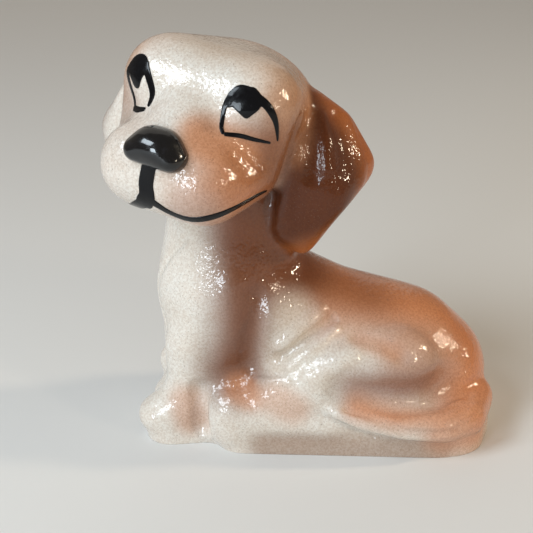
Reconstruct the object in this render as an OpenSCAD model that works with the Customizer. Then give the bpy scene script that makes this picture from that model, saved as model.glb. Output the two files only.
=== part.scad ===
// Ceramic dog figurine: a seated puppy, slip-cast hollow and glazed, on a low flat base.
// +Z is up and Z = 0 is the surface it stands on. The body faces -Y and the dog's left is +X.
// The head is modelled straight, facing -Y, and then turned to the dog's left on the neck.
// Each clay piece meets its neighbours face to face, where a potter would join them with slip.

/* [Figure] */
// Nominal height of the whole figure in millimetres, from the table to the top of the head
figure_height = 88; // [60:1:140]
// Thickness of the cast clay wall of the body and the head
wall = 3.2; // [2.6:0.2:4.2]

/* [Base] */
// Height of the upright band round the foot of the figure
base_height = 4.4; // [3:0.2:6]
// Radius of the vent hole under the figure
vent_radius = 2.6; // [1.5:0.1:4]
// How far the vent hole is set back from the middle
vent_back = 12; // [6:1:16]

/* [Head] */
// Turn of the head towards the dog's left, in degrees
head_turn = 58.6; // [45:0.2:65]
// Lift of the nose, in degrees
head_lift = 1.3; // [-3:0.1:6]
// Sideways lean of the head, in degrees
head_lean = 9.9; // [5:0.1:14]
// Height of the middle of the head above the table
head_z = 70.8; // [69:0.1:72]
// How far the nose button stands out of the muzzle
nose_out = 3; // [2:0.1:4]

/* [Ears] */
// Thickness of the ear flaps, as a share of the standard one
ear_fullness = 1; // [0.9:0.05:1.2]

/* [Painted marks] */
// Thickness of the black enamel on the glaze
enamel = 0.3; // [0.25:0.05:0.5]
// Width of an eye's black pupil
pupil_width = 7.4; // [6:0.2:8]
// Width of the brush line of the mouth
mouth_line = 1.3; // [1:0.1:1.8]

/* [Hidden] */

k = figure_height / 88;
left = 1;
right = -1;
round_steps = 28;

cream = [0.85, 0.80, 0.74];
blush = [0.80, 0.62, 0.48];
ear_brown = [0.52, 0.31, 0.19];
enamel_black = [0.03, 0.03, 0.035];

// Height of the nose button on the muzzle, above the middle of the head
nose_z = -1.4;

// Middle of the head, above the neck
head_at = [2.4, -18.6, head_z];

// ---- Clay shapes -------------------------------------------------------------------
// A bead is [centre, half-sizes]. Beads are hulled two by two into smooth limbs.

module bead(b, grow = 0)
  translate(b[0])
    scale([b[1][0] + grow, b[1][1] + grow, b[1][2] + grow])
      sphere(1, $fn = round_steps);

module limb(beads, grow = 0)
  for (i = [0 : len(beads) - 2])
    hull() {
      bead(beads[i], grow);
      bead(beads[i + 1], grow);
    }

module flap(beads, grow = 0)
  hull()
    for (b = beads)
      bead(b, grow);

// Everything that stands above the base band
module above_base()
  translate([-60, -60, base_height])
    cube([120, 120, 120]);

module set_head()
  translate(head_at)
    rotate([0, 0, head_turn])
      rotate([head_lift, 0, 0])
        rotate([0, head_lean, 0])
          children();

// ---- Body --------------------------------------------------------------------------
nape = [[1.5, -17.5, 59], [11, 12, 9]];
neck = [[0, -17, 47], [12, 14, 9]];
chest = [[0, -18, 33], [14, 15.5, 13]];
breast = [[0, -19, 20], [10, 12, 12]];
belly = [[0, 2, 20], [15, 15, 16]];
back = [[0, 18, 16], [17, 16, 14.5]];
rump = [[0, 26, 12], [15.5, 12.5, 12.5]];
seat_front = [[0, -8, 6], [12, 14, 8]];
seat_back = [[0, 22, 6], [20, 16, 8]];

module body_mass(grow = 0) {
  limb([nape, neck, chest, belly, back, rump], grow);
  limb([chest, breast, seat_front], grow);
  limb([seat_front, seat_back], grow);
}

// The hollow left by the slip, open downwards where the base closes it
module body_hollow() {
  body_mass(-wall);
  hull() {
    bead([[0, -8, 8], [8, 9, 5]]);
    bead([[0, 20, 8], [13, 11, 5]]);
    translate([0, -6, base_height - 1])
      cylinder(r = 8, h = 2, $fn = round_steps);
    translate([0, 18, base_height - 1])
      cylinder(r = 12, h = 2, $fn = round_steps);
  }
}

// The outline of the band: two front feet together, then the wider seat
module base_outline() {
  hull()
    for (side = [left, right]) {
      translate([side * 4, -31 + tuck(side)]) circle(r = 5.5, $fn = 40);
      translate([side * 4.5, -18]) circle(r = 4.5, $fn = 40);
    }
  hull() {
    translate([9.3, -15.5]) circle(r = 5.5, $fn = 40);
    translate([-9.3, -22.5]) circle(r = 5.5, $fn = 40);
    for (side = [left, right]) {
      translate([side * 14.8, 24.5]) circle(r = 6, $fn = 40);
      translate([side * 11.8, 27]) circle(r = 8.8, $fn = 40);
      translate([side * 6, 28]) circle(r = 10.5, $fn = 40);
    }
  }
}

module base()
  color(cream)
    difference() {
      linear_extrude(height = base_height)
        base_outline();
      translate([0, vent_back, -1])
        cylinder(r = vent_radius, h = base_height + 2, $fn = 48);
    }

// ---- Legs --------------------------------------------------------------------------
// The dog's right front foot is set a little further back than its left one
function tuck(side) = side == left ? 0 : 3.5;

module front_leg_mass(side, grow = 0) {
  limb([
    [[side * 6.5, -20, 35], [6.5, 8, 8]],
    [[side * 5.5, -24.5, 22], [5.2, 7.8, 7]],
    [[side * 4.9, -24.5, 13], [5, 7.3, 6]],
    [[side * 4.6, -27 + tuck(side), 8], [5.4, 7.4, 5.6]],
    [[side * 4.4, -33.5 + tuck(side), 5.2], [5, 5, 4.2]],
    [[side * 4.2, -31 + tuck(side), 4.5], [5.1, 6.5, 3]]
  ], grow);
}

// The dog's right hind foot is set further forward than its left one
function stretch(side) = side == left ? 0 : 8;

module hind_leg_mass(side, grow = 0) {
  limb([
    [[side * 13.5, 15, 17], [6.5, 10.5, 10.5]],
    [[side * 13, 1, 16.5], [6.5, 10, 9.5]],
    [[side * 11.5, -9 - stretch(side), 12], [5.5, 7, 6.5]]
  ], grow);
  limb([
    [[side * 13, 2, 7], [5.5, 9, 5]],
    [[side * 10.4, -17.5 - stretch(side), 8.6], [5.4, 7.2, 5.8]],
    [[side * 10, -17 - stretch(side), 4.5], [5.2, 6.6, 3]]
  ], grow);
}

module torso()
  color(cream)
    difference() {
      intersection() {
        body_mass();
        above_base();
      }
      body_hollow();
      set_head() head_mass();
    }

module front_leg(side)
  color(cream)
    difference() {
      intersection() {
        front_leg_mass(side);
        above_base();
        translate([side == left ? 0 : -60, -60, 0]) cube([60, 120, 60]);
      }
      body_mass();
      set_head() head_mass();
    }

module hind_leg(side)
  color(cream)
    difference() {
      intersection() {
        hind_leg_mass(side);
        above_base();
      }
      body_mass();
      front_leg_mass(left);
      front_leg_mass(right);
    }

// ---- Tail, laid forward round the dog's left side ----------------------------------
tail_beads = [
  [[9, 34.5, 8], [5, 4, 4.6]],
  [[16.5, 31, 7.4], [4.4, 4, 4.2]],
  [[20, 25, 7.2], [3.4, 4, 3.6]],
  [[20.4, 17, 8], [3, 4, 3.1]],
  [[19.6, 9, 9.6], [2.6, 4, 2.6]],
  [[18.4, 2.5, 11.6], [2, 2.4, 1.8]]
];

module tail()
  color(blush)
    difference() {
      intersection() {
        limb(tail_beads);
        above_base();
      }
      body_mass();
      hind_leg_mass(left);
    }

// ---- Head, straight and facing -Y --------------------------------------------------
module head_mass(grow = 0) {
  brow = [[8.6, -7, 6.2], [9.6, 9.5, 9]];
  cheek = [[7.6, -9, -5], [9.6, 9, 9]];
  jowl = [[6.4, -18.5, -6.8], [8.6, 9, 8.6]];
  crown = [[0, 3, 1.6], [17.4, 15, 12.2]];
  bridge_top = [[0, -9, 4.5], [9, 8.5, 8.5]];
  bridge_tip = [[0, -22.5, -3], [6.5, 5.6, 6]];
  flap([mirrored(brow, left), mirrored(brow, right), crown], grow);
  flap([mirrored(cheek, left), mirrored(cheek, right), crown], grow);
  flap([mirrored(jowl, left), mirrored(jowl, right)], grow);
  limb([bridge_tip, bridge_top], grow);
  flap([bridge_tip, crown], grow);
  for (side = [left, right]) {
    limb([mirrored(cheek, side), mirrored(brow, side)], grow);
    limb([mirrored(jowl, side), mirrored(cheek, side)], grow);
  }
}

// The same bead on the dog's left or right
function mirrored(b, side) = [[side * b[0][0], b[0][1], b[0][2]], b[1]];

module head()
  color(cream)
    difference() {
      set_head() head_mass();
      set_head() head_mass(-wall);
      limb([nape, neck], -wall);
    }

module ear_mass(side, f = 1) {
  root = [[side * 14, 5, 4.5], [4 * f, 6, 3.6]];
  top_front = [[side * 21, 2, -2], [3 * f, 4, 3.5]];
  shoulder = [[side * 20, 10, 0], [3.4 * f, 5, 3.8]];
  corner = [[side * 26.3, 11, -7], [2.8 * f, 4.5, 4]];
  front_mid = [[side * 17.6, -1, -7], [3 * f, 4, 6]];
  outer_mid = [[side * 25.2, 2, -10.5], [3.2 * f, 4, 4]];
  back_low = [[side * 23, 8, -14.5], [2.6 * f, 4, 4]];
  low_outer = [[side * 22.4, 1, -17], [2.8 * f, 3.6, 3.5]];
  front_low = [[side * 17.6, -2, -18], [2.6 * f, 3.4, 4]];
  tip = [[side * 20.5, 1.5, -23], [2.2 * f, 2.6, 2.2]];
  flap([root, top_front, shoulder, front_mid]);
  flap([top_front, shoulder, corner, outer_mid]);
  flap([top_front, front_mid, outer_mid, front_low]);
  flap([corner, outer_mid, back_low, low_outer]);
  flap([front_mid, outer_mid, low_outer, front_low]);
  flap([back_low, low_outer, front_low, tip]);
}

module ear(side)
  color(ear_brown)
    difference() {
      set_head() ear_mass(side, ear_fullness);
      set_head() head_mass();
      body_mass();
    }

module nose_mass()
  hull()
    for (side = [left, right]) {
      bead([[side * 1.5, -25.7, nose_z + 1.7], [3.6, nose_out + 1.2, 3]]);
      bead([[side * 3.9, -25.9, nose_z], [2.7, nose_out + 0.5, 2.5]]);
    }

module nose()
  color(enamel_black)
    set_head()
      difference() {
        nose_mass();
        head_mass();
      }

// ---- Painted marks -----------------------------------------------------------------
// Each mark is a thin coat on the face, with an outline seen from the front of the head.
module coat(from = -40, to = 0)
  set_head()
    difference() {
      intersection() {
        head_mass(enamel);
        translate([0, to, 0])
          rotate([90, 0, 0])
            linear_extrude(height = to - from)
              children();
      }
      head_mass();
    }

module brush(points, widths)
  for (i = [0 : len(points) - 2])
    hull() {
      translate(points[i]) circle(d = widths[i], $fn = 16);
      translate(points[i + 1]) circle(d = widths[i + 1], $fn = 16);
    }

// An eye rolled upwards: a drop-shaped pupil between two lash lines
module eye_outline(side) {
  hull() {
    translate([side * 10.6, 9.6])
      scale([pupil_width * 0.36, 2.4])
        circle(r = 1, $fn = 32);
    translate([side * 11.5, 6.9])
      circle(r = 0.8, $fn = 16);
  }
  brush([[side * 8.4, 9.8], [side * 7.4, 8.2], [side * 7.3, 6], [side * 7.7, 4.2], [side * 8.2, 3.6]],
        [1.1, 0.9, 0.85, 0.8, 0.7]);
  brush([[side * 12.6, 10.4], [side * 14.2, 9.2], [side * 15.5, 7.4], [side * 16.4, 5], [side * 16.8, 2.6]],
        [1.8, 1.6, 1.3, 0.9, 0.5]);
}

module eye(side)
  color(enamel_black)
    coat(to = -6)
      eye_outline(side);

module lower_lid(side)
  color(enamel_black)
    coat(to = -6)
      brush([[side * 9, 2.4], [side * 10.8, 2.3], [side * 13.4, 2.2], [side * 15.4, 1.8]],
            [0.8, 0.9, 0.8, 0.5]);

module philtrum_outline()
  brush([[-0.6, nose_z], [-0.6, -9.2], [-0.9, -11.2]], [3.2, 3.2, 2.6]);

module philtrum()
  color(enamel_black)
    difference() {
      coat(to = -18)
        philtrum_outline();
      set_head() nose_mass();
    }

// The line of the dog's right jowl runs lower than that of its left one
function mouth_points(side) =
  side == left
    ? [[0.8, -10.2], [4, -11.6], [8, -11.7], [12, -10.2], [16, -7.8]]
    : [[-1.2, -11], [-4, -12.6], [-7, -13.4], [-11, -12.8], [-15, -10.2]];

module mouth(side)
  color(enamel_black)
    intersection() {
      coat(to = -11)
        difference() {
          brush(mouth_points(side),
                [mouth_line * 1.3, mouth_line, mouth_line, mouth_line * 0.9, mouth_line * 0.5]);
          philtrum_outline();
        }
      set_head()
        translate([side * 30, 0, 0])
          cube([60, 100, 60], center = true);
    }

// ---- Pieces ------------------------------------------------------------------------
module front_leg_left() front_leg(left);
module front_leg_right() front_leg(right);
module hind_leg_left() hind_leg(left);
module hind_leg_right() hind_leg(right);
module ear_left() ear(left);
module ear_right() ear(right);
module eye_left() eye(left);
module eye_right() eye(right);
module lower_lid_left() lower_lid(left);
module lower_lid_right() lower_lid(right);
module mouth_left() mouth(left);
module mouth_right() mouth(right);

scale(k) torso();
scale(k) base();
scale(k) front_leg_left();
scale(k) front_leg_right();
scale(k) hind_leg_left();
scale(k) hind_leg_right();
scale(k) tail();
scale(k) head();
scale(k) ear_left();
scale(k) ear_right();
scale(k) nose();
scale(k) eye_left();
scale(k) eye_right();
scale(k) lower_lid_left();
scale(k) lower_lid_right();
scale(k) philtrum();
scale(k) mouth_left();
scale(k) mouth_right();
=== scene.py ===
import bpy
import math
import numpy as np
from mathutils import Matrix, Vector
from mathutils.bvhtree import BVHTree


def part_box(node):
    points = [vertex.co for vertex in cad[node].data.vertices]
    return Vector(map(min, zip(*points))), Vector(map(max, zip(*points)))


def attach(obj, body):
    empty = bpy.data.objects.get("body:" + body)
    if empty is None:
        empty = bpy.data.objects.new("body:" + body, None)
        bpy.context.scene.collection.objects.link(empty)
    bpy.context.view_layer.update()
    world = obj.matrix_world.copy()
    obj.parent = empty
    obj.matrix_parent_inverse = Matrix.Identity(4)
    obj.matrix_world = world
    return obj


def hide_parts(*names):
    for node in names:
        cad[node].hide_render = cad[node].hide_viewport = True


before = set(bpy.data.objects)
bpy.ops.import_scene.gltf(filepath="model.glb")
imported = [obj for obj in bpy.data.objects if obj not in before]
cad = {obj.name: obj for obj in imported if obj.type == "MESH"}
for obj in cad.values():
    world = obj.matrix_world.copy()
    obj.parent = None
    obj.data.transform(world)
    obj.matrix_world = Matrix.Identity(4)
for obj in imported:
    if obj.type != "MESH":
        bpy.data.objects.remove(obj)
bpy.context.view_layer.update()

# Sizes below are millimetres of a figure with a base band 4.4 mm high; mm follows the real band.
bandHeight = 4.4
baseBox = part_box("base")
mm = (baseBox[1].z - baseBox[0].z) / bandHeight
clayNodes = ["torso", "base", "front_leg_left", "front_leg_right", "hind_leg_left", "hind_leg_right",
             "tail", "head", "ear_left", "ear_right"]
left, right = 1, -1

# The head is modelled straight, facing -Y, and set on the neck turned to the dog's left.
headSet = {"middle": (2.4, -18.6, 70.8), "turn": 58.6, "lift": 1.3, "lean": 9.9}
headPlace = (Matrix.Translation(Vector(headSet["middle"]) * mm)
             @ Matrix.Rotation(math.radians(headSet["turn"]), 4, "Z")
             @ Matrix.Rotation(math.radians(headSet["lift"]), 4, "X")
             @ Matrix.Rotation(math.radians(headSet["lean"]), 4, "Y"))


def deselect():
    active = bpy.context.object
    if active and active.mode != "OBJECT":
        bpy.ops.object.mode_set(mode="OBJECT")
    bpy.ops.object.select_all(action="DESELECT")


def pick(*pieces):
    deselect()
    for piece in pieces:
        piece.select_set(True)
    bpy.context.view_layer.objects.active = pieces[0]


def join(pieces, name):
    pick(*pieces)
    if len(pieces) > 1:
        bpy.ops.object.join()
    joined = bpy.context.object
    joined.name = name
    return joined


def finishWith(piece, kind, **settings):
    pick(piece)
    modifier = piece.modifiers.new(kind.lower(), kind)
    for key, value in settings.items():
        setattr(modifier, key, value)
    bpy.ops.object.modifier_apply(modifier=modifier.name)


ballSteps = {"round": 32, "high": 16}


def ball(centre, sizes):
    deselect()
    bpy.ops.mesh.primitive_uv_sphere_add(segments=ballSteps["round"], ring_count=ballSteps["high"], radius=mm,
                                         location=[v * mm for v in centre], scale=sizes)
    bpy.ops.object.transform_apply(location=True, rotation=True, scale=True)
    return bpy.context.object


# Several closed shapes wrapped in one tight hull
def hulled(pieces, name):
    piece = join(pieces, name)
    bpy.ops.object.mode_set(mode="EDIT")
    bpy.ops.mesh.select_all(action="SELECT")
    bpy.ops.mesh.convex_hull()
    bpy.ops.object.mode_set(mode="OBJECT")
    return piece


# Beads hulled together into one smooth lump
def lump(beads):
    return hulled([ball(*bead) for bead in beads], "lump")


# A chain of beads, hulled two by two
def limb(beads):
    return [lump(pair) for pair in zip(beads, beads[1:])]


sponge = {"factor": 0.5, "beforeSwelling": 4}  # how a smoothing pass rubs a surface down


# Lumps pressed into one skin: swollen and shrunk again, it gets soft fillets where the lumps meet
def pressTogether(pieces, name, voxel, fillet, smoothing):
    skin = join(pieces, name)
    finishWith(skin, "REMESH", mode="VOXEL", voxel_size=voxel * mm)
    if fillet:
        for swelling in (fillet, -fillet):
            finishWith(skin, "SMOOTH", factor=sponge["factor"], iterations=sponge["beforeSwelling"])
            finishWith(skin, "DISPLACE", strength=swelling * mm, mid_level=0.0)
            finishWith(skin, "REMESH", mode="VOXEL", voxel_size=voxel * mm)
    finishWith(skin, "SMOOTH", factor=sponge["factor"], iterations=smoothing)
    return skin


# The same bead on the dog's left or right side
def other(side, bead):
    (x, y, z), sizes = bead
    return ((side * x, y, z), sizes)


# A bead moved forward or back
def moved(bead, along):
    (x, y, z), sizes = bead
    return ((x, y + along, z), sizes)


# A bead is a ball squashed or stretched along X, Y and Z: its middle, then its three half sizes
bodyShape = {
    "voxel": 0.55, "fillet": 2.2, "smoothing": 22,
    "spine": [((1.5, -17.5, 59), (11, 12, 9)), ((0, -17, 47), (12, 14, 9)), ((0, -18, 33), (14, 15.5, 13)),
              ((0, 2, 20), (15, 15, 16)), ((0, 18, 16), (17, 16, 14.5)), ((0, 26, 12), (15.5, 12.5, 12.5))],
    "breast": [((0, -18, 33), (14, 15.5, 13)), ((0, -19, 20), (10, 12, 12)), ((0, -8, 6), (12, 14, 8))],
    "seat": [((0, -8, 6), (12, 14, 8)), ((0, 22, 6), (20, 16, 8))],
}
frontLeg = {
    "voxel": 0.55, "fillet": 1.2, "smoothing": 10,
    "beads": [((6.5, -20, 35), (6.5, 8, 8)), ((5.5, -24.5, 22), (5.2, 7.8, 7)),
              ((4.9, -24.5, 13), (5, 7.3, 6)), ((4.6, -27, 8), (5.4, 7.4, 5.6)),
              ((4.4, -33.5, 5.2), (5, 5, 4.2)), ((4.2, -31, 3), (5.1, 6.5, 3))],
    "pawFrom": 3, "tuckedBack": 3.5,
}
hindLeg = {
    "stretch": 8,
    "thigh": [((13.5, 15, 17), (6.5, 10.5, 10.5)), ((13, 1, 16.5), (6.5, 10, 9.5)),
              ((11.5, -9, 12), (5.5, 7, 6.5))],
    "foot": [((13, 2, 7), (5.5, 9, 5)), ((10.4, -17.5, 8.6), (5.4, 7.2, 5.8)), ((10, -17, 3), (5.2, 6.6, 3))],
    "farToes": ((-12, -28.6, 10), (4, 4.8, 4.6)),
}
tailShape = {
    "voxel": 0.5, "fillet": 0, "smoothing": 10,
    "beads": [((9, 34.5, 8), (5, 4, 4.6)), ((16.5, 31, 7.4), (4.4, 4, 4.2)), ((20, 25, 7.2), (3.4, 4, 3.6)),
              ((20.4, 17, 8), (3, 4, 3.1)), ((19.6, 9, 9.6), (2.6, 4, 2.6)),
              ((18.4, 2.5, 11.6), (2, 2.4, 1.8))],
}
baseShape = {
    "height": bandHeight, "belowTable": 2,
    "paws": [((4, -31), 5.5), ((-4, -27.5), 5.5), ((4.5, -18), 4.5), ((-4.5, -18), 4.5)],
    "seatFront": [((9.3, -15.5), 5.5), ((-9.3, -22.5), 5.5)],
    "seat": [((14.8, 24.5), 6), ((11.8, 27), 8.8), ((6, 28), 10.5)],
}
headShape = {
    "voxel": 0.5, "fillet": 2.0, "smoothing": 14,
    "brow": ((8.6, -7, 6.2), (9.6, 9.5, 9)), "cheek": ((7.6, -9, -5), (9.6, 9, 9)),
    "jowl": ((6.4, -18.5, -6.8), (8.6, 9, 8.6)), "crown": ((0, 3, 1.6), (17.4, 15, 12.2)),
    "bridge": [((0, -22.5, -3), (6.5, 5.6, 6)), ((0, -9, 4.5), (9, 8.5, 8.5))],
}
earShape = {
    "voxel": 0.5, "fillet": 1.0, "smoothing": 16,
    "root": ((14, 5, 4.5), (4, 6, 3.6)), "topFront": ((21, 2, -2), (3, 4, 3.5)),
    "shoulder": ((20, 10, 0), (3.4, 5, 3.8)), "corner": ((26.3, 11, -7), (2.8, 4.5, 4)),
    "frontMid": ((17.6, -1, -7), (3, 4, 6)), "outerMid": ((25.2, 2, -10.5), (3.2, 4, 4)),
    "backLow": ((23, 8, -14.5), (2.6, 4, 4)), "lowOuter": ((22.4, 1, -17), (2.8, 3.6, 3.5)),
    "frontLow": ((17.6, -2, -18), (2.6, 3.4, 4)), "tip": ((20.5, 1.5, -23), (2.2, 2.6, 2.2)),
    "flaps": [("root", "topFront", "shoulder", "frontMid"), ("topFront", "shoulder", "corner", "outerMid"),
              ("topFront", "frontMid", "outerMid", "frontLow"), ("corner", "outerMid", "backLow", "lowOuter"),
              ("frontMid", "outerMid", "lowOuter", "frontLow"), ("backLow", "lowOuter", "frontLow", "tip")],
}

roundSteps = {"disc": 48, "brush": 24}


def disc(centre, radius, height, drop):
    deselect()
    bpy.ops.mesh.primitive_cylinder_add(vertices=roundSteps["disc"], radius=radius * mm,
                                        depth=(height + drop) * mm,
                                        location=[centre[0] * mm, centre[1] * mm, (height - drop) / 2 * mm])
    bpy.ops.object.transform_apply(location=True, rotation=True, scale=True)
    return bpy.context.object


def makeBase():
    s = baseShape
    seat = [((side * x, y), r) for (x, y), r in s["seat"] for side in (left, right)] + s["seatFront"]
    return [hulled([disc(c, r, s["height"], s["belowTable"]) for c, r in group], "slab")
            for group in (s["paws"], seat)]


def makeBody():
    s = bodyShape
    body = pressTogether(limb(s["spine"]) + limb(s["breast"]) + limb(s["seat"]), "body",
                         s["voxel"], s["fillet"], s["smoothing"])
    parts = [body] + makeBase()
    for side in (left, right):
        beads = [other(side, b) for b in frontLeg["beads"]]
        if side == right:
            paw = frontLeg["pawFrom"]
            beads[paw:] = [moved(b, frontLeg["tuckedBack"]) for b in beads[paw:]]
        parts += limb(beads)
        thigh = [other(side, b) for b in hindLeg["thigh"]]
        foot = [other(side, b) for b in hindLeg["foot"]]
        if side == right:
            thigh[-1:] = [moved(b, -hindLeg["stretch"]) for b in thigh[-1:]]
            foot[1:] = [moved(b, -hindLeg["stretch"]) for b in foot[1:]]
            parts.append(ball(*hindLeg["farToes"]))
        parts += limb(thigh) + limb(foot)
    s = frontLeg
    return pressTogether(parts, "bodySkin", s["voxel"], s["fillet"], s["smoothing"])


def makeTail():
    s = tailShape
    return pressTogether(limb(s["beads"]), "tailSkin", s["voxel"], s["fillet"], s["smoothing"])


def makeHead():
    s = headShape
    brows, cheeks, jowls = ([other(side, s[key]) for side in (left, right)]
                            for key in ("brow", "cheek", "jowl"))
    parts = [lump(brows + [s["crown"]]), lump(cheeks + [s["crown"]]), lump(jowls)]
    parts += limb(s["bridge"])
    for side in (left, right):
        parts += limb([other(side, s["jowl"]), other(side, s["cheek"]), other(side, s["brow"])])
    head = pressTogether(parts, "headSkin", s["voxel"], s["fillet"], s["smoothing"])
    head.data.transform(headPlace)
    return head


def makeEar(side):
    s = earShape
    parts = [lump([other(side, s[key]) for key in flap]) for flap in s["flaps"]]
    ear = pressTogether(parts, "earSkin", s["voxel"], s["fillet"], s["smoothing"])
    ear.data.transform(headPlace)
    return ear


skinSettings = {"voxel": 0.42, "fillet": 0.8, "smoothing": 5, "afterFolds": 1, "wall": 1.0}


# The place of every point of a mesh, or its normal
def pointsOf(piece, field="co"):
    values = np.empty(len(piece.data.vertices) * 3, np.float32)
    piece.data.vertices.foreach_get(field, values)
    return values.reshape(-1, 3).astype(float)


def movePoints(piece, co):
    piece.data.vertices.foreach_set("co", co.astype(np.float32).ravel())
    piece.data.update()


def treeOf(piece):
    return BVHTree.FromObject(piece, bpy.context.evaluated_depsgraph_get())


# Distance of every point from a line through a few places
def distanceToLine(co, line):
    best = np.full(len(co), np.inf)
    for a, b in zip(line, line[1:]):
        a, b = np.array(a), np.array(b)
        along = np.clip(((co - a) @ (b - a)) / float((b - a) @ (b - a)), 0, 1)
        best = np.minimum(best, np.linalg.norm(co - (a + along[:, None] * (b - a)), axis=1))
    return best


def lineInPlace(line, side, place=None):
    line = [Vector((side * x, y, z)) * mm for x, y, z in line]
    return [place @ p for p in line] if place else line


# A sculpting stroke: points near a line are pushed along their normals (plus is out, minus is in)
def stroke(piece, fold, side, place=None):
    co, no = pointsOf(piece), pointsOf(piece, "normal")
    near = distanceToLine(co, lineInPlace(fold["line"], side, place)) / (fold["width"] * mm)
    fall = np.clip(1 - near ** 2, 0, 1) ** 2
    movePoints(piece, co + no * (fall * fold["depth"] * mm)[:, None])


bodyFolds = [
    # hollow above the tail, crease over the haunch and the haunch itself
    {"line": [(19.6, 4, 16.4), (20, 10, 15.4), (19.6, 16, 14.8), (17.8, 22, 14.6), (15, 27, 15)],
     "width": 5.6, "depth": -1.5, "both": True},
    {"line": [(15, 7, 26), (17, 12.5, 25.3), (18.6, 15.8, 22.8)], "width": 2.4, "depth": -0.7, "both": True},
    {"line": [(17.5, 4, 22), (18.8, 11, 21)], "width": 5, "depth": 0.5, "both": True},
    # two soft ridges of the belly and the thigh
    {"line": [(14.4, -8.5, 24.4), (14.2, -5.4, 27.6), (12.6, -0.4, 31.2)], "width": 2.6, "depth": 0.75,
     "both": True},
    {"line": [(17.2, -2.6, 19), (18.8, 1.6, 22), (18.6, 5.4, 24.4)], "width": 3.0, "depth": 0.7,
     "both": True},
    # front edge of the thigh, with the fold above it and the small fold at the knee
    {"line": [(12.7, 2.4, 29.4), (14.4, -3.2, 26.2), (14.2, -8.5, 22.3)], "width": 1.9, "depth": -1.0,
     "both": True},
    {"line": [(13.4, 3, 27.6), (15.8, -2.6, 23.8), (15.8, -7.4, 20.4)], "width": 1.8, "depth": 0.7,
     "both": True},
    {"line": [(11.5, -14.6, 17.8), (14.4, -11.4, 18.3), (16.2, -8, 19.6)], "width": 1.3, "depth": -0.6,
     "both": False},
    {"line": [(12.6, -13.6, 16.4), (15, -11, 16.8), (17, -7.4, 17.8)], "width": 1.5, "depth": 0.4,
     "both": False},
    # behind the front leg
    {"line": [(13.4, -13.4, 35), (13.6, -14, 30), (13.2, -14.6, 24), (12, -15, 19)], "width": 3.4,
     "depth": -1.2, "both": True},
    {"line": [(13, -18.6, 38), (13, -19, 30), (11.6, -20, 21)], "width": 4.0, "depth": 0.6, "both": True},
    # between the near paws, and where the leg rests on the hind paw
    {"line": [(10.2, -25.4, 13.4), (11, -25.3, 9), (10.6, -25.2, 4)], "width": 3.0, "depth": -1.5,
     "both": False},
    {"line": [(10.6, -22.4, 14.4), (12, -18.6, 15.2), (12.4, -15.4, 16.2)], "width": 2.8, "depth": -0.3,
     "both": False},
    # loose skin of the chest
    {"line": [(3, -32, 37.5), (5.5, -30.4, 42), (8.4, -27.4, 46.5)], "width": 1.2, "depth": -0.5,
     "both": False},
    {"line": [(0.8, -33.4, 36), (1.7, -33.2, 31), (3.6, -32.2, 26), (5, -31.6, 21)], "width": 1.3,
     "depth": -0.55, "both": False},
    # tail: groove above it, crisp upper and lower edges, ridge at its turn
    {"line": [(19.6, 6, 15), (19.4, 14, 13.8), (18.4, 21.5, 12.7), (16.3, 29, 12.9), (13.3, 33.4, 13.6)],
     "width": 1.7, "depth": -0.4, "both": False},
    {"line": [(20.2, 7, 13.4), (20.2, 14, 12.2), (19.2, 21.6, 11), (17, 29, 11.2)], "width": 1.1,
     "depth": 0.4, "both": False},
    {"line": [(20, 4.6, 12.2), (21.6, 10.7, 10.2), (22.8, 16.3, 8), (23, 22, 7.2), (22, 27, 7.4)],
     "width": 1.4, "depth": -0.8, "both": False},
    {"line": [(22.4, 25.5, 8.8), (21, 29.4, 9.6), (18.4, 32.4, 11.2)], "width": 1.1, "depth": 0.4,
     "both": False},
]
headFolds = [
    # where each ear leaves the cheek
    {"line": [(17.6, -5.2, 5), (17.2, -6, -1), (16.8, -7.2, -7), (15.6, -7.4, -11)], "width": 1.7,
     "depth": -0.8, "both": True},
    # rims and soft folds of the ears
    {"line": [(17.8, -3.4, -0.8), (17.9, -4.9, -7.4), (17.6, -5, -15)], "width": 2.2, "depth": 0.4,
     "both": True},
    {"line": [(18.2, 0.6, 4), (20.9, -1.9, -1.1), (21.6, -3, -6)], "width": 2.8, "depth": -0.75,
     "both": True},
    {"line": [(19.6, 2.6, 3.6), (22.9, -0.4, -0.9), (24, -1.4, -4)], "width": 2.4, "depth": 0.35,
     "both": True},
    {"line": [(20.8, 5.8, 3.6), (24.7, 3, -1.4), (26.2, 2, -4.6)], "width": 2.6, "depth": -0.5,
     "both": True},
    {"line": [(22, 9.6, 3), (26.3, 7.7, -2.3), (28.6, 6.7, -7.7)], "width": 2.4, "depth": 0.35,
     "both": True},
    # cheek hollows under the eyes
    {"line": [(13.6, -15.6, 1.6), (13.2, -15.6, -0.4)], "width": 7, "depth": -1.3, "both": True},
]


print("pressing the clay skin")
skin = pressTogether([makeBody(), makeTail(), makeHead(), makeEar(left), makeEar(right)], "skin",
                     skinSettings["voxel"], skinSettings["fillet"], skinSettings["smoothing"])

print("sculpting the folds")
for place, folds in ((None, bodyFolds), (headPlace, headFolds)):
    for fold in folds:
        for side in (left, right) if fold["both"] else (left,):
            stroke(skin, fold, side, place)
finishWith(skin, "SMOOTH", factor=sponge["factor"], iterations=skinSettings["afterFolds"])

# The underside is cut flat at the table
pick(skin)
bpy.ops.object.mode_set(mode="EDIT")
bpy.ops.mesh.select_all(action="SELECT")
bpy.ops.mesh.bisect(plane_co=(0, 0, 0), plane_no=(0, 0, 1), clear_inner=True, use_fill=True)
bpy.ops.object.mode_set(mode="OBJECT")
skin.data.shade_smooth()
print("skin faces", len(skin.data.polygons))


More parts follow.
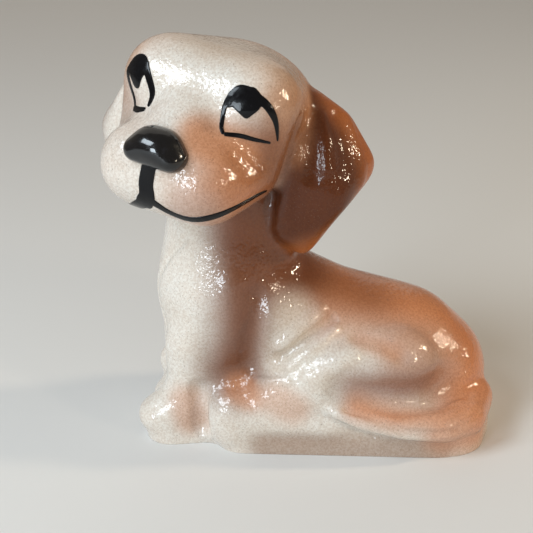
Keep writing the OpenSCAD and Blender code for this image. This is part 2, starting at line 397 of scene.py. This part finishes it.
# Airbrushed colour on the skin, with painted shade in a few creases and hollows: each dab is a soft cloud
# along a line, by default the same on both sides; farStrength is its strength on the dog's right side, and
# cream is the ground it is laid on
cream, brown, peach = (0.75, 0.70, 0.63), (0.17, 0.046, 0.010), (0.62, 0.28, 0.14)
bodyDabs = [
    # back, nape, and the brown streak from the neck down behind the front leg: neck brown above, painted
    # shade in the crease behind the leg below
    {"line": [(0, 2, 40), (0, 16, 35), (0, 31, 26)], "radius": 24, "colour": (0.64, 0.25, 0.10),
     "strength": 0.9, "focus": 1.2},
    {"line": [(5, 0, 40), (8, 5, 36), (8, 11, 34)], "radius": 11, "colour": (0.30, 0.105, 0.04),
     "strength": 0.7, "focus": 1.1},
    {"line": [(9, -14, 54), (9, -10, 48), (8, -5, 42)], "radius": 14, "colour": brown, "strength": 0.97},
    # painted shade: the neck brown carried down the crease behind the front leg
    {"line": [(13, -15.8, 46), (13.6, -15.4, 36), (13.2, -15.6, 26), (11.4, -18, 18)], "radius": 12,
     "colour": brown, "strength": 0.95, "focus": 1.15},
    # flank slightly darkened with beige as painted shade, rump, haunch and its crease, painted shade in the
    # hollow above the tail
    # painted shade: a slightly darker beige over the flank
    {"line": [(13, -6, 31), (14, -7, 26), (14.4, -8, 21)], "radius": 8, "colour": (0.70, 0.63, 0.54),
     "strength": 0.7, "focus": 1.1},
    {"line": [(0, 37, 22), (10, 36, 14), (15, 34, 11)], "radius": 16, "colour": (0.62, 0.225, 0.08),
     "strength": 0.92, "focus": 1.3},
    {"line": [(17, 18, 22), (15, 25, 20)], "radius": 11, "colour": (0.50, 0.25, 0.15), "strength": 0.6},
    {"line": [(15.5, 8, 25.4), (18.2, 14.5, 24)], "radius": 3.2, "colour": peach, "strength": 0.5},
    # painted shade: dark brown laid in the hollow between the haunch and the tail
    {"line": [(19.6, 7, 16.4), (19.4, 14, 16.4), (17.5, 22, 16.6)], "radius": 8,
     "colour": (0.25, 0.10, 0.06), "strength": 0.8, "focus": 1.0},
    # painted shade darkening the foot of the base, and the knee
    # painted shade: a dark band along the bottom of the base where it meets the table
    {"line": [(15, -12, 2), (20, 10, 2), (21, 24, 2)], "radius": 5, "colour": (0.30, 0.17, 0.10),
     "strength": 0.65},
    {"line": [(16, -9, 13.4), (17, -6.5, 12)], "radius": 6, "colour": peach, "strength": 0.45},
]
nearDabs = [
    # tail and its turn, then beside the front paw and on the hind paw
    {"line": [(20, 6.6, 12.6), (21.4, 14, 10.8), (21, 23, 9.6), (18, 31, 10.4)], "radius": 5,
     "colour": (0.62, 0.27, 0.13), "strength": 0.88, "focus": 1.0},
    {"line": [(22, 25, 5.5), (18, 33, 6)], "radius": 7, "colour": peach, "strength": 0.6},
    {"line": [(9.4, -28, 10), (9.6, -27, 6)], "radius": 5.5, "colour": (0.60, 0.36, 0.25), "strength": 0.75},
    {"line": [(12.4, -17, 14), (13.4, -14.8, 13)], "radius": 5, "colour": peach, "strength": 0.65},
]
headDabs = [
    # sides and back of the head, crown, temple
    {"line": [(18, 0, 8), (16, 9, 7), (0, 18, 6)], "radius": 19, "colour": (0.58, 0.24, 0.085),
     "strength": 0.92, "focus": 1.2},
    {"line": [(0, -3, 14), (9, -2, 14)], "radius": 12, "colour": (0.50, 0.38, 0.28), "strength": 0.5},
    {"line": [(17, -11, 9), (18, -8, 3)], "radius": 7, "colour": (0.48, 0.26, 0.15), "strength": 0.7},
]
cheekDabs = [
    # cheek; the hollow in front of the ear, brown with painted shade from the ear over it, stronger on the
    # near side; beside the bridge of the nose; lip
    {"line": [(11, -20, -6), (17, -13, -5)], "radius": 15, "colour": (0.48, 0.17, 0.055), "strength": 0.95,
     "farStrength": 0.12, "focus": 1.15},
    # brown of the cheek by the ear, darkened further as painted shade under the ear
    {"line": [(15.4, -12.8, 0.6), (17.8, -9, -5), (18.6, -6, 2)], "radius": 9.5,
     "colour": (0.20, 0.07, 0.026), "strength": 0.85, "farStrength": 0.4, "focus": 1.1},
    {"line": [(6, -21, 2.4), (12, -18, 0)], "radius": 7, "colour": (0.56, 0.25, 0.12), "strength": 0.85,
     "farStrength": 0.1},
    {"line": [(7, -25, -9), (9, -24, -9)], "radius": 6, "colour": (0.44, 0.30, 0.24), "strength": 0.6,
     "farStrength": 0.0},
]
neckUnderHead = [
    {"line": [(12, -16, 56), (12, -11, 54), (12, -6, 52)], "radius": 8, "colour": brown, "strength": 0.95},
]
earDabs = [
    {"line": [(19, 12, 6), (28, 14, -5), (26, 11, -15), (22, 4, -24)], "radius": 10,
     "colour": (0.46, 0.145, 0.04), "strength": 0.9},
    {"line": [(17, -1, 5), (17.5, -4, -2)], "radius": 4, "colour": (0.36, 0.17, 0.09), "strength": 0.8},
]
farEarDabs = [
    {"line": [(17, -2, 2), (20, -3, -8), (19, -4, -18)], "radius": 12, "colour": cream, "strength": 0.97},
]
earColour = (0.105, 0.026, 0.006)  # the ground of the ears
sprayBlur = {"passes": 14, "share": 0.5}
sprayFocus = 1.5  # a higher focus gives a dab a more solid heart


def spray(co, colours, dab, place=None, sides=(left, right)):
    for side in sides:
        near = 1 - distanceToLine(co, lineInPlace(dab["line"], side, place)) / (dab["radius"] * mm)
        near = np.clip(near * dab.get("focus", sprayFocus), 0, 1)
        strength = dab["strength"] if side == left else dab.get("farStrength", dab["strength"])
        share = (near * near * (3 - 2 * near) * strength)[:, None]
        colours = colours * (1 - share) + np.array(dab["colour"]) * share
    return colours


# A face of the skin with cutCorners or more is the flat cut at the table
partingSettings = {"passes": 10, "ownVote": 1.5, "cutCorners": 8}
print("finding each clay piece on the skin")
skinPoints = pointsOf(skin)
cadPoints, cadFaces, faceOwner = [], [], []
for index, name in enumerate(clayNodes):
    mesh = cad[name].data
    start = len(cadPoints)
    cadPoints += [v.co.copy() for v in mesh.vertices]
    cadFaces += [[start + i for i in p.vertices] for p in mesh.polygons]
    faceOwner += [index] * len(mesh.polygons)
cadTree = BVHTree.FromPolygons(cadPoints, cadFaces)
owner = np.array([faceOwner[cadTree.find_nearest(Vector(p))[2]] for p in skinPoints])
edges = np.array([e.vertices[:] for e in skin.data.edges])
for smoothingPass in range(partingSettings["passes"]):
    votes = np.zeros((len(owner), len(clayNodes)))
    np.add.at(votes, (edges[:, 0], owner[edges[:, 1]]), 1)
    np.add.at(votes, (edges[:, 1], owner[edges[:, 0]]), 1)
    votes[np.arange(len(owner)), owner] += partingSettings["ownVote"]
    owner = votes.argmax(1)

print("spraying the colours")
colours = np.tile(np.array(cream), (len(skinPoints), 1))
isEar = (owner == clayNodes.index("ear_left")) | (owner == clayNodes.index("ear_right"))
isHead = owner == clayNodes.index("head")
bodyColours, headColours = colours.copy(), colours.copy()
for dab in bodyDabs:
    bodyColours = spray(skinPoints, bodyColours, dab)
for dab in nearDabs:
    bodyColours = spray(skinPoints, bodyColours, dab, sides=(left,))
for dab in headDabs + cheekDabs:
    headColours = spray(skinPoints, headColours, dab, headPlace)
for dab in neckUnderHead:
    headColours = spray(skinPoints, headColours, dab)
earColours = np.tile(np.array(earColour), (len(skinPoints), 1))
for dab in earDabs:
    earColours = spray(skinPoints, earColours, dab, headPlace)
for dab in farEarDabs:
    earColours = spray(skinPoints, earColours, dab, headPlace, sides=(right,))
colours = np.where(isHead[:, None], headColours, np.where(isEar[:, None], earColours, bodyColours))
for smoothingPass in range(sprayBlur["passes"]):
    total = np.zeros_like(colours)
    count = np.zeros(len(colours))
    for i, j in ((0, 1), (1, 0)):
        np.add.at(total, edges[:, i], colours[edges[:, j]])
        np.add.at(count, edges[:, i], 1)
    colours = (1 - sprayBlur["share"]) * colours + sprayBlur["share"] * total / count[:, None]
sprayed = skin.data.attributes.new("airbrush_and_painted_shade", "FLOAT_COLOR", "POINT")
sprayed.data.foreach_set("color", np.hstack([colours, np.ones((len(colours), 1))]).astype(np.float32).ravel())

print("parting the skin into its pieces")
whole = skin.copy()
whole.data = skin.data.copy()
bpy.context.scene.collection.objects.link(whole)
faceOwners = []
for polygon in skin.data.polygons:
    found = [owner[i] for i in polygon.vertices]
    cut = len(found) >= partingSettings["cutCorners"]
    faceOwners.append(clayNodes.index("base") if cut else max(set(found), key=found.count))
marker = skin.data.attributes.new("owner", "INT", "FACE")
marker.data.foreach_set("value", np.array(faceOwners, np.int32))
clayPieces = {}
for index, name in enumerate(clayNodes[:-1]):
    pick(skin)
    values = np.empty(len(skin.data.polygons), np.int32)
    skin.data.attributes["owner"].data.foreach_get("value", values)
    skin.data.polygons.foreach_set("select", values == index)
    bpy.context.tool_settings.mesh_select_mode = (False, False, True)
    bpy.ops.object.mode_set(mode="EDIT")
    bpy.ops.mesh.separate(type="SELECTED")
    bpy.ops.object.mode_set(mode="OBJECT")
    piece = [o for o in bpy.context.selected_objects if o != skin][0]
    clayPieces[name] = piece
clayPieces[clayNodes[-1]] = skin

for name, piece in clayPieces.items():
    points = pointsOf(piece)
    points[:, 2] = np.maximum(points[:, 2], 0)
    movePoints(piece, points)
    piece.name = "clay_" + name
    piece.data.name = piece.name
    piece.vertex_groups.new(name="inner")
    finishWith(piece, "SOLIDIFY", thickness=skinSettings["wall"] * mm, offset=-1, use_rim=True,
               shell_vertex_group="inner")
    finishWith(piece, "DATA_TRANSFER", object=whole, use_loop_data=True, data_types_loops={"CUSTOM_NORMAL"},
               loop_mapping="POLYINTERP_NEAREST", vertex_group="inner", invert_vertex_group=True)
    piece.vertex_groups.clear()
    print(name, len(piece.data.polygons))

ventSettings = {"radius": 2.6, "back": 12, "reach": 4}
vent = disc((0, ventSettings["back"]), ventSettings["radius"], ventSettings["reach"], ventSettings["reach"])
finishWith(clayPieces["base"], "BOOLEAN", operation="DIFFERENCE", solver="EXACT", object=vent)
bpy.data.objects.remove(vent)

noseShape = {"voxel": 0.25, "smoothing": 30,
             "beads": [((0.2, -25.8, 0.3), (4.4, 4.3, 3.6)), ((-1.0, -25.8, 0.3), (4.4, 4.3, 3.6)),
                       ((3.1, -26, -1.0), (2.8, 3.6, 2.6)), ((-3.9, -26, -1.0), (2.8, 3.6, 2.6))]}
print("making the nose")
nose = pressTogether([lump(noseShape["beads"])], "nose_button", noseShape["voxel"], 0, noseShape["smoothing"])
nose.data.transform(headPlace)
nose.data.shade_smooth()

# Painted marks: brush strokes laid out flat in front of the face, then laid on the glaze
markSettings = {"voxel": 0.13, "plate": 0.4, "outside": 0.18, "inside": -0.1, "smoothing": 3, "reach": 30}
headTree = treeOf(whole)


def brushDisc(x, z, width):
    deselect()
    bpy.ops.mesh.primitive_cylinder_add(vertices=roundSteps["brush"], radius=width / 2 * mm,
                                        depth=markSettings["plate"] * mm, location=(x * mm, 0, z * mm),
                                        rotation=(math.pi / 2, 0, 0))
    bpy.ops.object.transform_apply(location=True, rotation=True, scale=True)
    return bpy.context.object


# The given places of a stroke, with two softer ones between each pair
def softened(points):
    p = [np.array(q, float) for q in points]
    p = [2 * p[0] - p[1]] + p + [2 * p[-1] - p[-2]]
    soft = []
    for a, b, c, d in zip(p, p[1:], p[2:], p[3:]):
        for t in (0, 1 / 3, 2 / 3):
            soft.append(0.5 * (2 * b + (c - a) * t + (2 * a - 5 * b + 4 * c - d) * t ** 2
                               + (3 * b - a - 3 * c + d) * t ** 3))
    return soft + [p[-2]]


def brushStroke(points):
    points = [tuple(float(v) for v in q) for q in softened(points)]
    return [hulled([brushDisc(*a), brushDisc(*b)], "slab") for a, b in zip(points, points[1:])]


# Every mark is drawn in a flat frame with its middle on the face and its own facing direction
def layOnFace(parts, name, middle, facing, side):
    mark = join(parts, name)
    finishWith(mark, "REMESH", mode="VOXEL", voxel_size=markSettings["voxel"] * mm)
    finishWith(mark, "SMOOTH", factor=sponge["factor"], iterations=markSettings["smoothing"])
    turn = Matrix.Rotation(math.radians(side * facing[0]), 3, "Z")
    turn = turn @ Matrix.Rotation(math.radians(-facing[1]), 3, "X")
    place = headPlace.to_3x3() @ turn
    centre = headPlace @ (Vector((side * middle[0], middle[1], middle[2])) * mm)
    towards = place @ Vector((0, 1, 0))
    co = pointsOf(mark)
    half = markSettings["plate"] * mm / 2
    placed = []
    for x, y, z in co:
        across = centre + place @ Vector((side * x, 0, z))
        hit, normal = headTree.ray_cast(across - towards * markSettings["reach"] * mm, towards)[:2]
        if hit is None:
            hit, normal = headTree.find_nearest(across)[:2]
        out = np.interp(-y, (-half, half), (markSettings["inside"] * mm, markSettings["outside"] * mm))
        placed.append(hit + normal * float(out))
    movePoints(mark, np.array([p[:] for p in placed]))
    if side == right:
        mark.data.flip_normals()
    mark.data.shade_smooth()
    return mark


# Places of the strokes as seen from in front of the face: across, up and width
eyeMarks = {
    left: {"middle": (11.5, -15, 6), "facing": (24, 20),
           "pupil": [(-1.4, 3.7, 4.8), (-0.2, 3.4, 5.0), (-0.2, 0.9, 1.5)],
           "topLash": [(-3.6, 2.6, 1.9), (-2.4, 4.3, 2.4), (0.2, 4.7, 2.5)],
           "innerLash": [(-3.7, 3.2, 1.0), (-4.3, 1.8, 0.9), (-4.4, -0.2, 0.85), (-4.4, -2.0, 0.8),
                         (-4.0, -3.0, 0.7)],
           "outerLash": [(1.2, 4.1, 1.9), (3.0, 3.2, 1.6), (4.3, 1.9, 1.4), (5.3, 0.3, 1.0), (5.9, -1.6, 0.6),
                         (6.2, -3, 0.3)],
           "lowerLid": [(-3.4, -3.2, 0.8), (-0.8, -3.1, 0.9), (1.8, -3.4, 0.8), (4.8, -3.6, 0.45)]},
    right: {"middle": (11, -15.5, 6), "facing": (40, 20),
            "pupil": [(1.6, 3.3, 5.0), (0.6, 0.7, 2.4)],
            "topLash": [(3.6, 1.6, 1.8), (2.6, 3.9, 2.2), (0.2, 4.4, 1.8)],
            "innerLash": [(0.2, 4.6, 1.4), (-1.8, 2.8, 1.3), (-3.6, 0.4, 1.2), (-4.0, -1.6, 0.9)],
            "outerLash": [(3.9, 1.2, 1.2), (2.7, -1.0, 0.9), (1.4, -2.6, 0.8), (0.6, -3.6, 0.7)],
            "lowerLid": [(-3.4, -2.9, 0.9), (-1.6, -3.8, 1.3), (0.2, -4.2, 1.3)]},
}
mouthMarks = {
    "middle": (0, -25, -8), "facing": {left: (0, 0), right: (0, -35)},
    "philtrum": [(-0.6, 5, 3.1), (-1.0, 1.4, 3.1), (-0.7, -1.2, 3.3), (-1.5, -3.0, 3.4)],
    left: [(0.6, -2.4, 1.7), (4, -3.6, 1.3), (8, -3.7, 1.3), (12, -2.2, 1.2), (16, 0.2, 0.6)],
    right: [(2.2, -2.6, 2.8), (4, -4.6, 2.4), (6.4, -7.4, 1.6), (9, -8.6, 1.2), (13, -8.2, 0.8)],
}
print("painting the face")
marks = {}
for side, word in ((left, "left"), (right, "right")):
    e = eyeMarks[side]
    pupil = [hulled([brushDisc(*spot) for spot in e["pupil"]], "slab")]
    strokes = brushStroke(e["topLash"]) + brushStroke(e["innerLash"]) + brushStroke(e["outerLash"])
    marks["eye_" + word] = layOnFace(pupil + strokes, "mark_eye_" + word, e["middle"], e["facing"], side)
    marks["lower_lid_" + word] = layOnFace(brushStroke(e["lowerLid"]), "mark_lower_lid_" + word,
                                           e["middle"], e["facing"], side)
    marks["mouth_" + word] = layOnFace(brushStroke(mouthMarks[side]), "mark_mouth_" + word,
                                       mouthMarks["middle"], mouthMarks["facing"][side], side)
marks["philtrum"] = layOnFace(brushStroke(mouthMarks["philtrum"]), "mark_philtrum",
                              mouthMarks["middle"], mouthMarks["facing"][left], left)
bpy.data.objects.remove(whole)


# A material with short words for the few nodes it needs
class Recipe:
    def __init__(self, name):
        self.material = bpy.data.materials.new(name)
        self.material.use_nodes = True
        self.tree = self.material.node_tree
        self.shader = self.tree.nodes["Principled BSDF"]
        self.place = self.node("ShaderNodeTexCoord").outputs["Object"]

    def node(self, kind, **settings):
        made = self.tree.nodes.new(kind)
        for key, value in settings.items():
            setattr(made, key, value)
        return made

    def feed(self, node, socket, value):
        if isinstance(value, bpy.types.NodeSocket):
            self.tree.links.new(value, node.inputs[socket])
        else:
            node.inputs[socket].default_value = value

    def noise(self, size, detail=2, rough=0.5):
        made = self.node("ShaderNodeTexNoise")
        self.feed(made, "Vector", self.place)
        self.feed(made, "Scale", 1 / (size * mm))
        self.feed(made, "Detail", detail)
        self.feed(made, "Roughness", rough)
        return made.outputs["Fac"]

    def curve(self, value, low, high, toLow=0.0, toHigh=1.0):
        made = self.node("ShaderNodeMapRange", interpolation_type="SMOOTHSTEP")
        for socket, number in zip(("Value", "From Min", "From Max", "To Min", "To Max"),
                                  (value, low, high, toLow, toHigh)):
            self.feed(made, socket, number)
        return made.outputs["Result"]

    def mix(self, factor, a, b, how):
        made = self.node("ShaderNodeMix", data_type="RGBA", blend_type=how)
        self.feed(made, 0, factor)
        for socket, value in ((6, a), (7, b)):
            self.feed(made, socket, value if isinstance(value, bpy.types.NodeSocket) else (*value, 1))
        return made.outputs[2]

    def times(self, a, b):
        made = self.node("ShaderNodeMath", operation="MULTIPLY")
        self.feed(made, 0, a)
        self.feed(made, 1, b)
        return made.outputs[0]

    # One more colour, laid on where a noise pattern is strong
    def layOver(self, under, s):
        pattern = self.curve(self.noise(s["size"], s["detail"], s["rough"]), s["low"], s["high"])
        return self.mix(self.times(pattern, s["share"]), under, s["colour"], s["how"])

    def bump(self, height, depth, under=None):
        made = self.node("ShaderNodeBump")
        self.feed(made, "Height", height)
        self.feed(made, "Distance", depth * mm)
        self.feed(made, "Strength", 1.0)
        if under:
            self.feed(made, "Normal", under)
        return made.outputs["Normal"]


glazeLook = {
    "layers": [
        # soft clouds, fine stipple, dark specks
        {"size": 7, "detail": 3, "rough": 0.6, "low": 0.3, "high": 0.7, "share": 0.35,
         "colour": (0.90, 0.80, 0.72), "how": "MULTIPLY"},
        {"size": 0.48, "detail": 2, "rough": 0.6, "low": 0.38, "high": 0.62, "share": 0.5,
         "colour": (0.74, 0.64, 0.57), "how": "MULTIPLY"},
        {"size": 0.26, "detail": 1, "rough": 0.4, "low": 0.64, "high": 0.74, "share": 0.5,
         "colour": (0.14, 0.08, 0.05), "how": "MIX"},
    ],
    "roughSize": 2.0, "roughLevels": (0.3, 0.7), "rough": (0.39, 0.53), "shine": 0.12, "glass": 1.5,
    "bodyCoat": 1.0, "earCoat": 0.5, "coatRough": 0.04,
    "rippleSize": 4.5, "rippleDepth": 0.22, "peelSize": 0.7, "peelDetail": 1, "peelDepth": 0.13,
}


def glazeMaterial(name, coat):
    g, s = Recipe(name), glazeLook
    colour = g.node("ShaderNodeAttribute", attribute_name="airbrush_and_painted_shade").outputs["Color"]
    for layer in s["layers"]:
        colour = g.layOver(colour, layer)
    g.feed(g.shader, "Base Color", colour)
    g.feed(g.shader, "Roughness", g.curve(g.noise(s["roughSize"]), *s["roughLevels"], *s["rough"]))
    g.feed(g.shader, "Specular IOR Level", s["shine"])
    g.feed(g.shader, "Coat Weight", coat)
    g.feed(g.shader, "Coat Roughness", s["coatRough"])
    g.feed(g.shader, "IOR", s["glass"])
    ripple = g.bump(g.noise(s["rippleSize"]), s["rippleDepth"])
    g.feed(g.shader, "Normal", ripple)
    peel = g.noise(s["peelSize"], s["peelDetail"])
    g.feed(g.shader, "Coat Normal", g.bump(peel, s["peelDepth"], ripple))
    return g.material


enamelLook = {
    "black": (0.004, 0.004, 0.005),
    "thin": {"size": 1.6, "detail": 3, "rough": 0.6, "low": 0.55, "high": 0.8, "share": 0.5,
             "colour": (0.016, 0.016, 0.02), "how": "MIX"},
    "roughSize": 1.2, "roughLevels": (0.3, 0.7), "rough": (0.12, 0.24), "coatRough": 0.05,
    "waveSize": 1.1, "waveDepth": 0.05,
    "nose": {"coat": 0.7, "shine": 0.3}, "brush": {"coat": 0.22, "shine": 0.12},
}


def enamelMaterial(name, coat, shine):
    g, s = Recipe(name), enamelLook
    g.feed(g.shader, "Base Color", g.layOver(s["black"], s["thin"]))
    g.feed(g.shader, "Roughness", g.curve(g.noise(s["roughSize"]), *s["roughLevels"], *s["rough"]))
    g.feed(g.shader, "Specular IOR Level", shine)
    g.feed(g.shader, "Coat Weight", coat)
    g.feed(g.shader, "Coat Roughness", s["coatRough"])
    g.feed(g.shader, "Normal", g.bump(g.noise(s["waveSize"]), s["waveDepth"]))
    return g.material


print("mixing the glazes")
bodyGlaze = glazeMaterial("body glaze", glazeLook["bodyCoat"])
earGlaze = glazeMaterial("ear glaze", glazeLook["earCoat"])
noseEnamel = enamelMaterial("nose enamel", **enamelLook["nose"])
brushEnamel = enamelMaterial("brush enamel", **enamelLook["brush"])


# Gives a finished piece its material, hangs it under the root body and hides the CAD node that it stands for
def hand(piece, node, material):
    piece.data.materials.clear()
    piece.data.materials.append(material)
    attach(piece, "root")
    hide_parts(node)


for name, piece in clayPieces.items():
    slot, glaze = ("ear_glaze", earGlaze) if name.startswith("ear") else ("body_glaze", bodyGlaze)
    hand(piece, name, glaze)
hand(nose, "nose", noseEnamel)
for name, piece in marks.items():
    hand(piece, name, brushEnamel)

studio = {
    "floorSize": 3, "floorColour": (0.74, 0.73, 0.71), "floorRough": 0.9,
    "world": 0.2, "worldColour": (1.0, 0.87, 0.72), "lampsLookAt": (0, 0, 0.04),
    "lamps": [
        # cool window in front, and its lower part beside the viewer
        {"at": (0.202, -0.381, 0.428), "size": (0.26, 0.22), "power": 2.2, "colour": (0.80, 0.91, 1.0)},
        {"at": (0.46, -0.36, 0.14), "size": (0.15, 0.20), "power": 1.5, "colour": (0.80, 0.91, 1.0)},
        # warm lamps behind the tail and beside the viewer, and a large soft one on the far side
        {"at": (0.036, 0.509, 0.246), "size": (0.05, 0.05), "power": 1.0, "colour": (1.0, 0.84, 0.62)},
        {"at": (0.363, 0.327, 0.144), "size": (0.04, 0.04), "power": 0.35, "colour": (1.0, 0.85, 0.65)},
        {"at": (-0.70, -0.05, 0.62), "size": (1.2, 1.2), "power": 1.6, "colour": (1.0, 0.95, 0.88)},
    ],
}
print("setting the studio")
deselect()
bpy.ops.mesh.primitive_plane_add(size=studio["floorSize"], location=(0, 0, 0))
floor = bpy.context.object
floor.name = "floor"
paper = bpy.data.materials.new("pale paper")
paper.use_nodes = True
paperShader = paper.node_tree.nodes["Principled BSDF"]
paperShader.inputs["Base Color"].default_value = (*studio["floorColour"], 1)
paperShader.inputs["Roughness"].default_value = studio["floorRough"]
floor.data.materials.append(paper)

world = bpy.data.worlds.new("studio")
bpy.context.scene.world = world
world.use_nodes = True
sky = world.node_tree.nodes["Background"]
sky.inputs["Color"].default_value = (*studio["worldColour"], 1)
sky.inputs["Strength"].default_value = studio["world"]
bpy.context.scene.view_settings.view_transform = "Standard"
for lamp in studio["lamps"]:
    bpy.ops.object.light_add(type="AREA", location=lamp["at"])
    light = bpy.context.object
    light.data.shape = "RECTANGLE"
    light.data.size, light.data.size_y = lamp["size"]
    light.data.energy = lamp["power"]
    light.data.color = lamp["colour"]
    away = light.location - Vector(studio["lampsLookAt"])
    light.rotation_euler = away.to_track_quat("Z", "Y").to_euler()

viewSettings = {"round": 84, "above": 22, "far": 0.250, "lens": 79.7, "sensor": 36, "nearest": 0.01,
                "lookAt": (0, -0.010, 0.0365)}
turned, raised = math.radians(viewSettings["round"]), math.radians(viewSettings["above"])
back = Vector((math.sin(turned) * math.cos(raised), -math.cos(turned) * math.cos(raised), math.sin(raised)))
bpy.ops.object.camera_add(location=Vector(viewSettings["lookAt"]) + back * viewSettings["far"])
camera = bpy.context.object
camera.rotation_euler = back.to_track_quat("Z", "Y").to_euler()
camera.data.sensor_width = viewSettings["sensor"]
camera.data.lens = viewSettings["lens"]
camera.data.clip_start = viewSettings["nearest"]
bpy.context.scene.camera = camera
